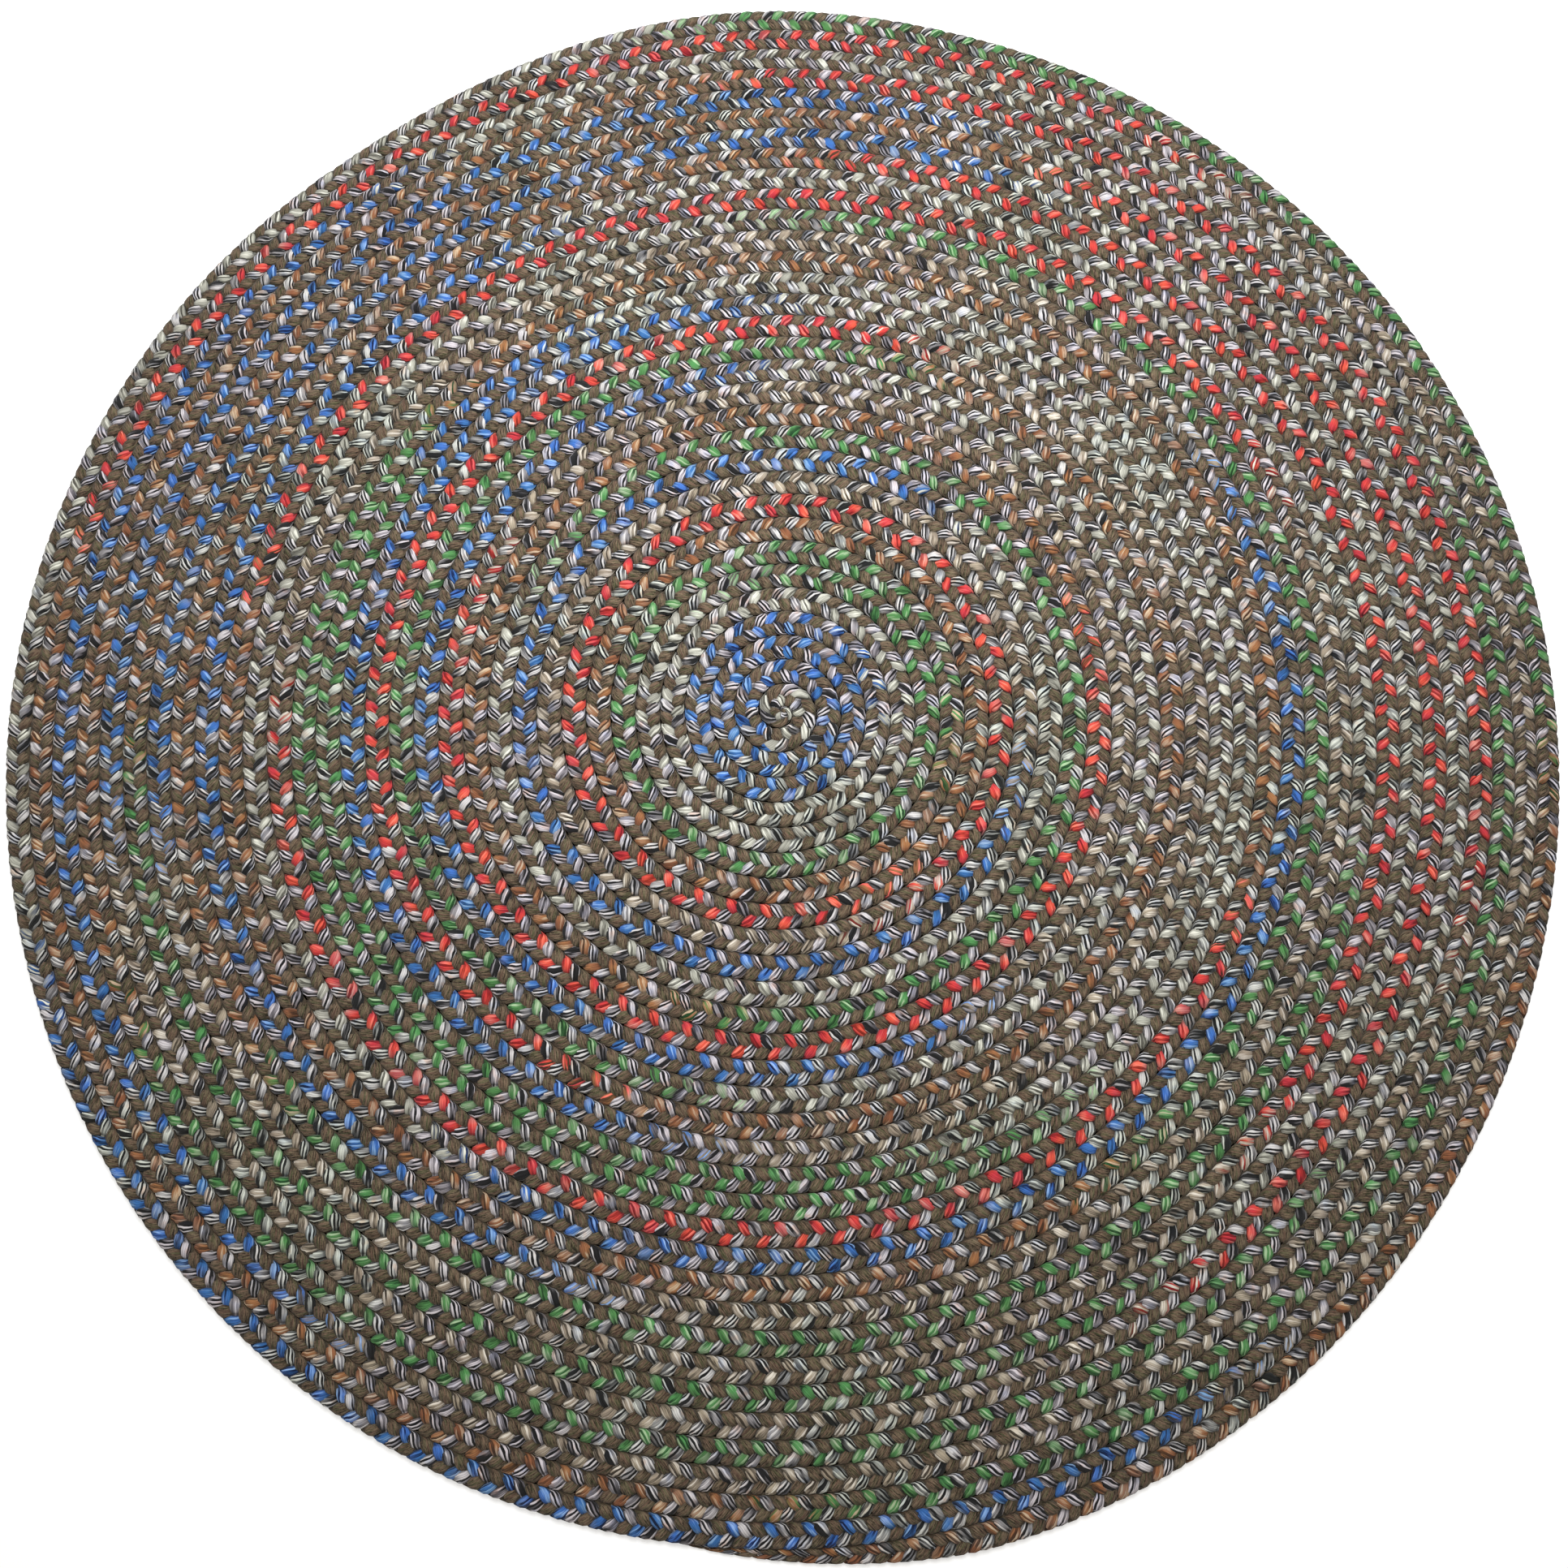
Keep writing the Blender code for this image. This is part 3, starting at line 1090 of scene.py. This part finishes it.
@dataclass(frozen=True)
class MarlWool:
    """The marled wool: black, charcoal, grey and white yarns side by side, a few of them tinted."""

    shades: tuple[tuple[float, Colour], ...] = (
        (0.00, (0.010, 0.010, 0.010)),
        (0.29, (0.018, 0.018, 0.019)),
        (0.34, (0.080, 0.077, 0.080)),
        (0.44, (0.165, 0.158, 0.164)),
        (0.51, (0.270, 0.259, 0.264)),
        (0.66, (0.370, 0.356, 0.358)),
        (0.77, (0.680, 0.658, 0.648)),
    )
    # Warm and cool tints about a lobe wide, and green and violet ones that are much wider.
    near_tints: tuple[Patches, ...] = (
        Patches((1.00, 0.78, 0.66), 0.60, 0.72, 0.8),
        Patches((0.82, 0.88, 1.00), 0.44, 0.28),
    )
    wide_tints: tuple[Patches, ...] = (
        Patches((0.93, 1.00, 0.90), 0.56, 0.68),
        Patches((0.98, 0.93, 1.00), 0.52, 0.40),
    )
    near_scale: float = 70.0      # how many cells of the tints' noises lie in a metre
    wide_scale: float = 5.0
    roughness: float = 0.90
    sheen: float = 0.10
    lay: YarnLay = YarnLay(yarns=18.0, twist=2.0, change=2.4, contrast=0.45, height=0.0005,
                           creases=0.70, closed=0.50)
    fibre_share: float = 0.16     # how much paler the fibres make a yarn
    tone_shift: float = 0.08      # how much darker all yarns are

    def make(self, weaver: Weaver) -> Material:
        """Builds the material: each yarn's shade, multiplied by the tints where they lie.

        Args:
            weaver: what the wools share.

        Returns:
            The material.
        """
        nodes, shader, material = weaver.start("marl_wool", self.roughness, self.sheen)
        yarns = weaver.place_yarns(nodes, self.lay)
        shade = nodes.math("MULTIPLY_ADD", yarns["Fibre"], self.fibre_share, yarns["Tone"])
        colour = nodes.ramp(nodes.math("SUBTRACT", shade, self.tone_shift), self.shades)
        place = nodes.place()
        near, wide = nodes.noise(place, self.near_scale, 1.0), nodes.noise(place, self.wide_scale)
        for noise, tints in ((near, self.near_tints), (wide, self.wide_tints)):
            for tint in tints:
                tinted = nodes.mix(1.0, colour, tint.colour, "MULTIPLY")
                colour = nodes.mix(tint.share(nodes, noise), colour, tinted)
        weaver.finish(nodes, shader, colour, yarns, self.lay)
        return material


@dataclass(frozen=True)
class DyedWool:
    """The wool dyed in six equal runs of colour, by the strand's dye attribute.

    Each run has dark, middling and pale yarns, so that its lobes are streaked.
    """

    # (dark yarns, middling yarns, pale yarns) of each run, in their order from the start of the repeat
    runs: tuple[tuple[Colour, Colour, Colour], ...] = (
        ((0.230, 0.010, 0.010), (0.660, 0.058, 0.050), (0.860, 0.160, 0.130)),   # red
        ((0.055, 0.042, 0.029), (0.385, 0.316, 0.238), (0.720, 0.650, 0.560)),   # tan
        ((0.004, 0.014, 0.060), (0.050, 0.165, 0.480), (0.250, 0.430, 0.760)),   # blue
        ((0.090, 0.086, 0.070), (0.400, 0.395, 0.335), (0.740, 0.735, 0.640)),   # cream
        ((0.014, 0.055, 0.016), (0.088, 0.262, 0.082), (0.360, 0.520, 0.300)),   # green
        ((0.070, 0.032, 0.016), (0.320, 0.132, 0.058), (0.560, 0.410, 0.280)),   # rust
    )
    blend: float = 0.003          # half of each change from a colour to the next, as a share of the repeat
    straggle: float = 0.016       # how much earlier or later single yarns change, as the same share
    middling_from: Span = (0.10, 0.42)    # the tones between which yarns go from dark to middling
    pale_from: Span = (0.62, 0.90)    # and from middling to pale
    tone_share: float = 0.90      # how far a yarn's tone and the fibres make it paler
    fibre_share: float = 0.6
    tone_shift: float = -0.25
    undyed: Patches = Patches((0.560, 0.530, 0.470), 0.60, 0.76, 0.5)
    undyed_scale: float = 33.0    # how many cells of their noise lie in a metre
    vary_scale: float = 60.0      # the same for the places where hue and brightness vary
    vary_range: Span = (0.3, 0.7)    # the noise's values at which they have varied all they do
    hues: Span = (0.493, 0.507)   # 0.5 is the dye's own hue
    brightness: Span = (0.85, 1.15)
    roughness: float = 0.90
    sheen: float = 0.10
    lay: YarnLay = YarnLay(yarns=16.0, twist=2.0, change=3.0, contrast=0.30, height=0.0004,
                           creases=0.70, closed=0.50)

    def stops(self, which: int) -> list[tuple[float, Colour]]:
        """The Color Ramp's stops for one kind of the yarns, two for each run.

        Args:
            which: 0 for the dark yarns, 1 for the middling and 2 for the pale ones.

        Returns:
            The places in the repeat, and the colours there.
        """
        width = 1.0 / len(self.runs)
        found = [(0.0, self.runs[-1][which])]
        for number, run in enumerate(self.runs):
            found.append((number * width + self.blend, run[which]))
            found.append(((number + 1) * width - self.blend, run[which]))
        return found

    def streaked(self, nodes: Nodes, yarns: Sockets, tone: Socket) -> Socket:
        """The colour of each yarn: that of its run, dark, middling or pale by its tone.

        Args:
            nodes: the material's nodes.
            yarns: the placed group's outputs.
            tone: how pale the yarn is, from 0 to 1.

        Returns:
            The colour.
        """
        strand = nodes.add("ShaderNodeAttribute", attribute_name=DYE_ATTRIBUTE).outputs["Fac"]
        late = nodes.math("MULTIPLY_ADD", yarns["Tone"], self.straggle, -0.5 * self.straggle)
        run = nodes.math("FRACT", nodes.math("ADD", strand, late))
        dark, middling, pale = (nodes.ramp(run, self.stops(which)) for which in range(3))
        streaked = nodes.mix(nodes.spread(tone, self.middling_from, (0.0, 1.0)), dark, middling)
        return nodes.mix(nodes.spread(tone, self.pale_from, (0.0, 1.0)), streaked, pale)

    def make(self, weaver: Weaver) -> Material:
        """Builds the material: the runs' colours, undyed in patches, their hue and brightness varied.

        Args:
            weaver: what the wools share.

        Returns:
            The material.
        """
        nodes, shader, material = weaver.start("dyed_wool", self.roughness, self.sheen)
        yarns = weaver.place_yarns(nodes, self.lay)
        fibres = nodes.math("MULTIPLY_ADD", yarns["Fibre"], self.fibre_share, self.tone_shift)
        tone = nodes.math("MULTIPLY_ADD", yarns["Tone"], self.tone_share, fibres, clamp=True)
        place = nodes.place()
        patches = self.undyed.share(nodes, nodes.noise(place, self.undyed_scale))
        faded = nodes.math("MULTIPLY", patches, tone)
        colour = nodes.mix(faded, self.streaked(nodes, yarns, tone), self.undyed.colour)
        vary = nodes.noise(place, self.vary_scale)
        shift = nodes.add("ShaderNodeHueSaturation")
        nodes.join(nodes.spread(vary, self.vary_range, self.hues), shift.inputs["Hue"])
        nodes.join(nodes.spread(vary, self.vary_range, self.brightness), shift.inputs["Value"])
        nodes.join(colour, shift.inputs["Color"])
        weaver.finish(nodes, shader, shift.outputs[0], yarns, self.lay)
        return material


@dataclass(frozen=True)
class PaintedShadeWool:
    """The wool in the braid's middle, between the strands, painted dark as shade."""

    # painted shade: both colours are the dark look of the shaded gaps between the strands
    dark: Colour = (0.045, 0.037, 0.026)
    light: Colour = (0.110, 0.087, 0.060)
    roughness: float = 1.0
    sheen: float = 0.0
    fibre_scale: float = 700.0    # how many cells of the fibres' noise lie in a metre

    def make(self, weaver: Weaver) -> Material:
        """Builds the material.

        Args:
            weaver: what the wools share.

        Returns:
            The material.
        """
        nodes, shader, material = weaver.start("painted_shade_wool", self.roughness, self.sheen)
        fibre = nodes.noise(nodes.place(), self.fibre_scale, 3.0)
        nodes.join(nodes.mix(fibre, self.dark, self.light), shader.inputs["Base Color"])
        return material


# --------------------------------------------------------------------------------------------------------
# The rug
# --------------------------------------------------------------------------------------------------------


@dataclass(frozen=True)
class Rug:
    """The whole rug: the sewn middle and the three strands, each in two halves."""

    plait: Plait

    def strands(self) -> list[Strand]:
        """The three strands, whose lobes follow each other along the braid: marl, dyed, brown.

        Returns:
            The strands, in the order in which they are built.
        """
        return [
            Strand(self.plait, Wool.BROWN, lag=0.651, bulk=1.14, lift=0.0024, taper=0.88, seed=SEED + 1,
                   lobe_half=(0.0068, 0.0031), end_heights=(0.0030, 0.0029)),
            Strand(self.plait, Wool.MARL, lag=0.000, bulk=1.06, lift=0.0030, taper=0.78, seed=SEED + 2),
            Strand(self.plait, Wool.DYED, lag=0.286, bulk=0.98, lift=0.0030, taper=0.78, seed=SEED + 3),
        ]

    def build(self) -> list[bpy.types.Object]:
        """Builds and dresses every piece.

        Returns:
            The pieces.
        """
        weaver = Weaver(YarnGroup().build())
        finishes = {Wool.BROWN: BrownWool(), Wool.MARL: MarlWool(), Wool.DYED: DyedWool()}
        materials = {wool: finish.make(weaver) for wool, finish in finishes.items()}
        pieces = []
        for strand in self.strands():
            for half in Half:
                piece = strand.build(half)
                self.dress(piece, materials[strand.wool])
                pieces.append(piece)
        bed = Bed(self.plait)
        middle = bed.build()
        # the band's dark wool is painted shade, seen in the gaps between the strands
        self.dress(middle, PaintedShadeWool().make(weaver))
        return [middle, *pieces]

    def dress(self, piece: bpy.types.Object, material: Material) -> None:
        """Gives a piece its material and its body, and hides the solid that it stands for.

        Args:
            piece: the piece.
            material: its material.
        """
        piece.data.materials.append(material)
        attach(piece, BODY)
        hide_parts(RUG_NODE)
        LOG.info("%s: %d faces", piece.name, len(piece.data.polygons))


# --------------------------------------------------------------------------------------------------------
# The studio
# --------------------------------------------------------------------------------------------------------


def placed(right: np.ndarray, up: np.ndarray, back: np.ndarray, place: Place) -> Matrix:
    """The matrix of an object at a place, with its own axes along right, up and back."""
    rows = [[right[i], up[i], back[i], place[i]] for i in range(3)]
    return Matrix((*rows, (0.0, 0.0, 0.0, 1.0)))


@dataclass(frozen=True)
class Camera:
    """The camera, above the rug and a little towards its near side, at the photograph's angle."""

    place: Place = (0.0717, -0.1811, 1.3928)
    right: Place = (0.99996, -0.00811, 0.0048)
    up: Place = (0.00728, 0.98821, 0.15292)
    focal_pixels: float = 1450.0
    axis_pixels: Span = (1045.7, 842.1)    # where the lens's axis meets the picture
    sensor_mm: float = 36.0
    nearest: float = 0.05         # how near and how far it sees, in metres
    farthest: float = 50.0

    def build(self) -> bpy.types.Object:
        """Makes the camera and sets it as the scene's own.

        Returns:
            The camera.
        """
        data = bpy.data.cameras.new("camera")
        data.sensor_fit = "HORIZONTAL"
        data.sensor_width = self.sensor_mm
        data.lens = self.focal_pixels / PICTURE_SIDE * self.sensor_mm
        data.shift_x = 0.5 - self.axis_pixels[0] / PICTURE_SIDE
        data.shift_y = self.axis_pixels[1] / PICTURE_SIDE - 0.5
        data.clip_start, data.clip_end = self.nearest, self.farthest
        camera = bpy.data.objects.new("camera", data)
        bpy.context.scene.collection.objects.link(camera)
        right = np.array(self.right) / np.linalg.norm(self.right)
        back = np.cross(right, self.up)
        back /= np.linalg.norm(back)
        camera.matrix_world = placed(right, np.cross(back, right), back, self.place)
        bpy.context.scene.camera = camera
        return camera


@dataclass(frozen=True)
class Lamp:
    """A large soft lamp, aimed at a point on the floor."""

    name: str
    place: Place
    aim: Place
    width: float
    height: float
    watts: float
    colour: Colour = (0.96, 0.98, 1.0)

    def build(self) -> bpy.types.Object:
        """Makes the lamp as a rectangle that faces its aim.

        Returns:
            The lamp.
        """
        data = bpy.data.lights.new(self.name, "AREA")
        data.shape = "RECTANGLE"
        data.size, data.size_y, data.energy = self.width, self.height, self.watts
        data.color = self.colour
        lamp = bpy.data.objects.new(self.name, data)
        bpy.context.scene.collection.objects.link(lamp)
        away = np.array(self.place) - np.array(self.aim)
        back = away / np.linalg.norm(away)
        side = np.cross((0.0, 1.0, 0.0), back)
        side /= np.linalg.norm(side)
        lamp.matrix_world = placed(side, np.cross(back, side), back, self.place)
        return lamp


@dataclass(frozen=True)
class Studio:
    """A plain pale floor that glows a little, two soft lamps over the rug's far half, and a warm even sky."""

    floor_side: float = 14.0
    floor_drop: float = 0.0002    # how far it lies below the rug's lowest points
    floor_roughness: float = 0.9
    floor_specular: float = 0.1
    floor_colour: Colour = (0.90, 0.90, 0.90)
    floor_glow: float = 0.50
    sky_strength: float = 0.275
    sky_colour: Colour = (1.0, 0.940, 0.835)
    lamps: tuple[Lamp, ...] = (
        Lamp("key", place=(0.12, 0.48, 1.50), aim=(0.05, 0.38, 0.0), width=0.9, height=0.7, watts=29.0),
        Lamp("window", place=(0.10, 2.30, 1.40), aim=(0.00, 0.30, 0.0), width=1.6, height=0.9, watts=14.0),
    )

    def floor(self) -> bpy.types.Object:
        """Makes the floor as one square, just under the rug.

        Returns:
            The floor.
        """
        half, low = self.floor_side / 2.0, -self.floor_drop
        points = np.array([[-half, -half, low], [half, -half, low], [half, half, low], [-half, half, low]])
        floor = new_mesh_object("floor", points, [np.array([[0, 1, 2, 3]])])
        material = bpy.data.materials.new("pale_floor")
        material.use_nodes = True
        shader = material.node_tree.nodes["Principled BSDF"]
        shader.inputs["Base Color"].default_value = (*self.floor_colour, 1.0)
        shader.inputs["Roughness"].default_value = self.floor_roughness
        shader.inputs["Specular IOR Level"].default_value = self.floor_specular
        shader.inputs["Emission Color"].default_value = (1.0, 1.0, 1.0, 1.0)
        shader.inputs["Emission Strength"].default_value = self.floor_glow
        floor.data.materials.append(material)
        return floor

    def sky(self) -> None:
        """Sets an even, slightly warm sky as the fill light."""
        world = bpy.data.worlds.new("sky")
        world.use_nodes = True
        background = world.node_tree.nodes["Background"]
        background.inputs["Color"].default_value = (*self.sky_colour, 1.0)
        background.inputs["Strength"].default_value = self.sky_strength
        bpy.context.scene.world = world

    def build(self) -> None:
        """Builds the floor, the sky and the lamps, and sets a plain view transform."""
        self.floor()
        self.sky()
        for lamp in self.lamps:
            lamp.build()
        bpy.context.scene.view_settings.view_transform = "Standard"


def main() -> None:
    """Builds the camera, the rug and the studio in their order, and reports each piece."""
    logging.basicConfig(level=logging.INFO, format="%(message)s")
    Camera().build()
    plait = Plait(Coil())
    LOG.info("the plait makes %.1f to %.1f turns", *plait.turn_range())
    pieces = Rug(plait).build()
    Studio().build()
    faces = sum(len(piece.data.polygons) for piece in pieces)
    LOG.info("%d pieces, %d faces", len(pieces), faces)


if __name__ == "__main__":
    main()
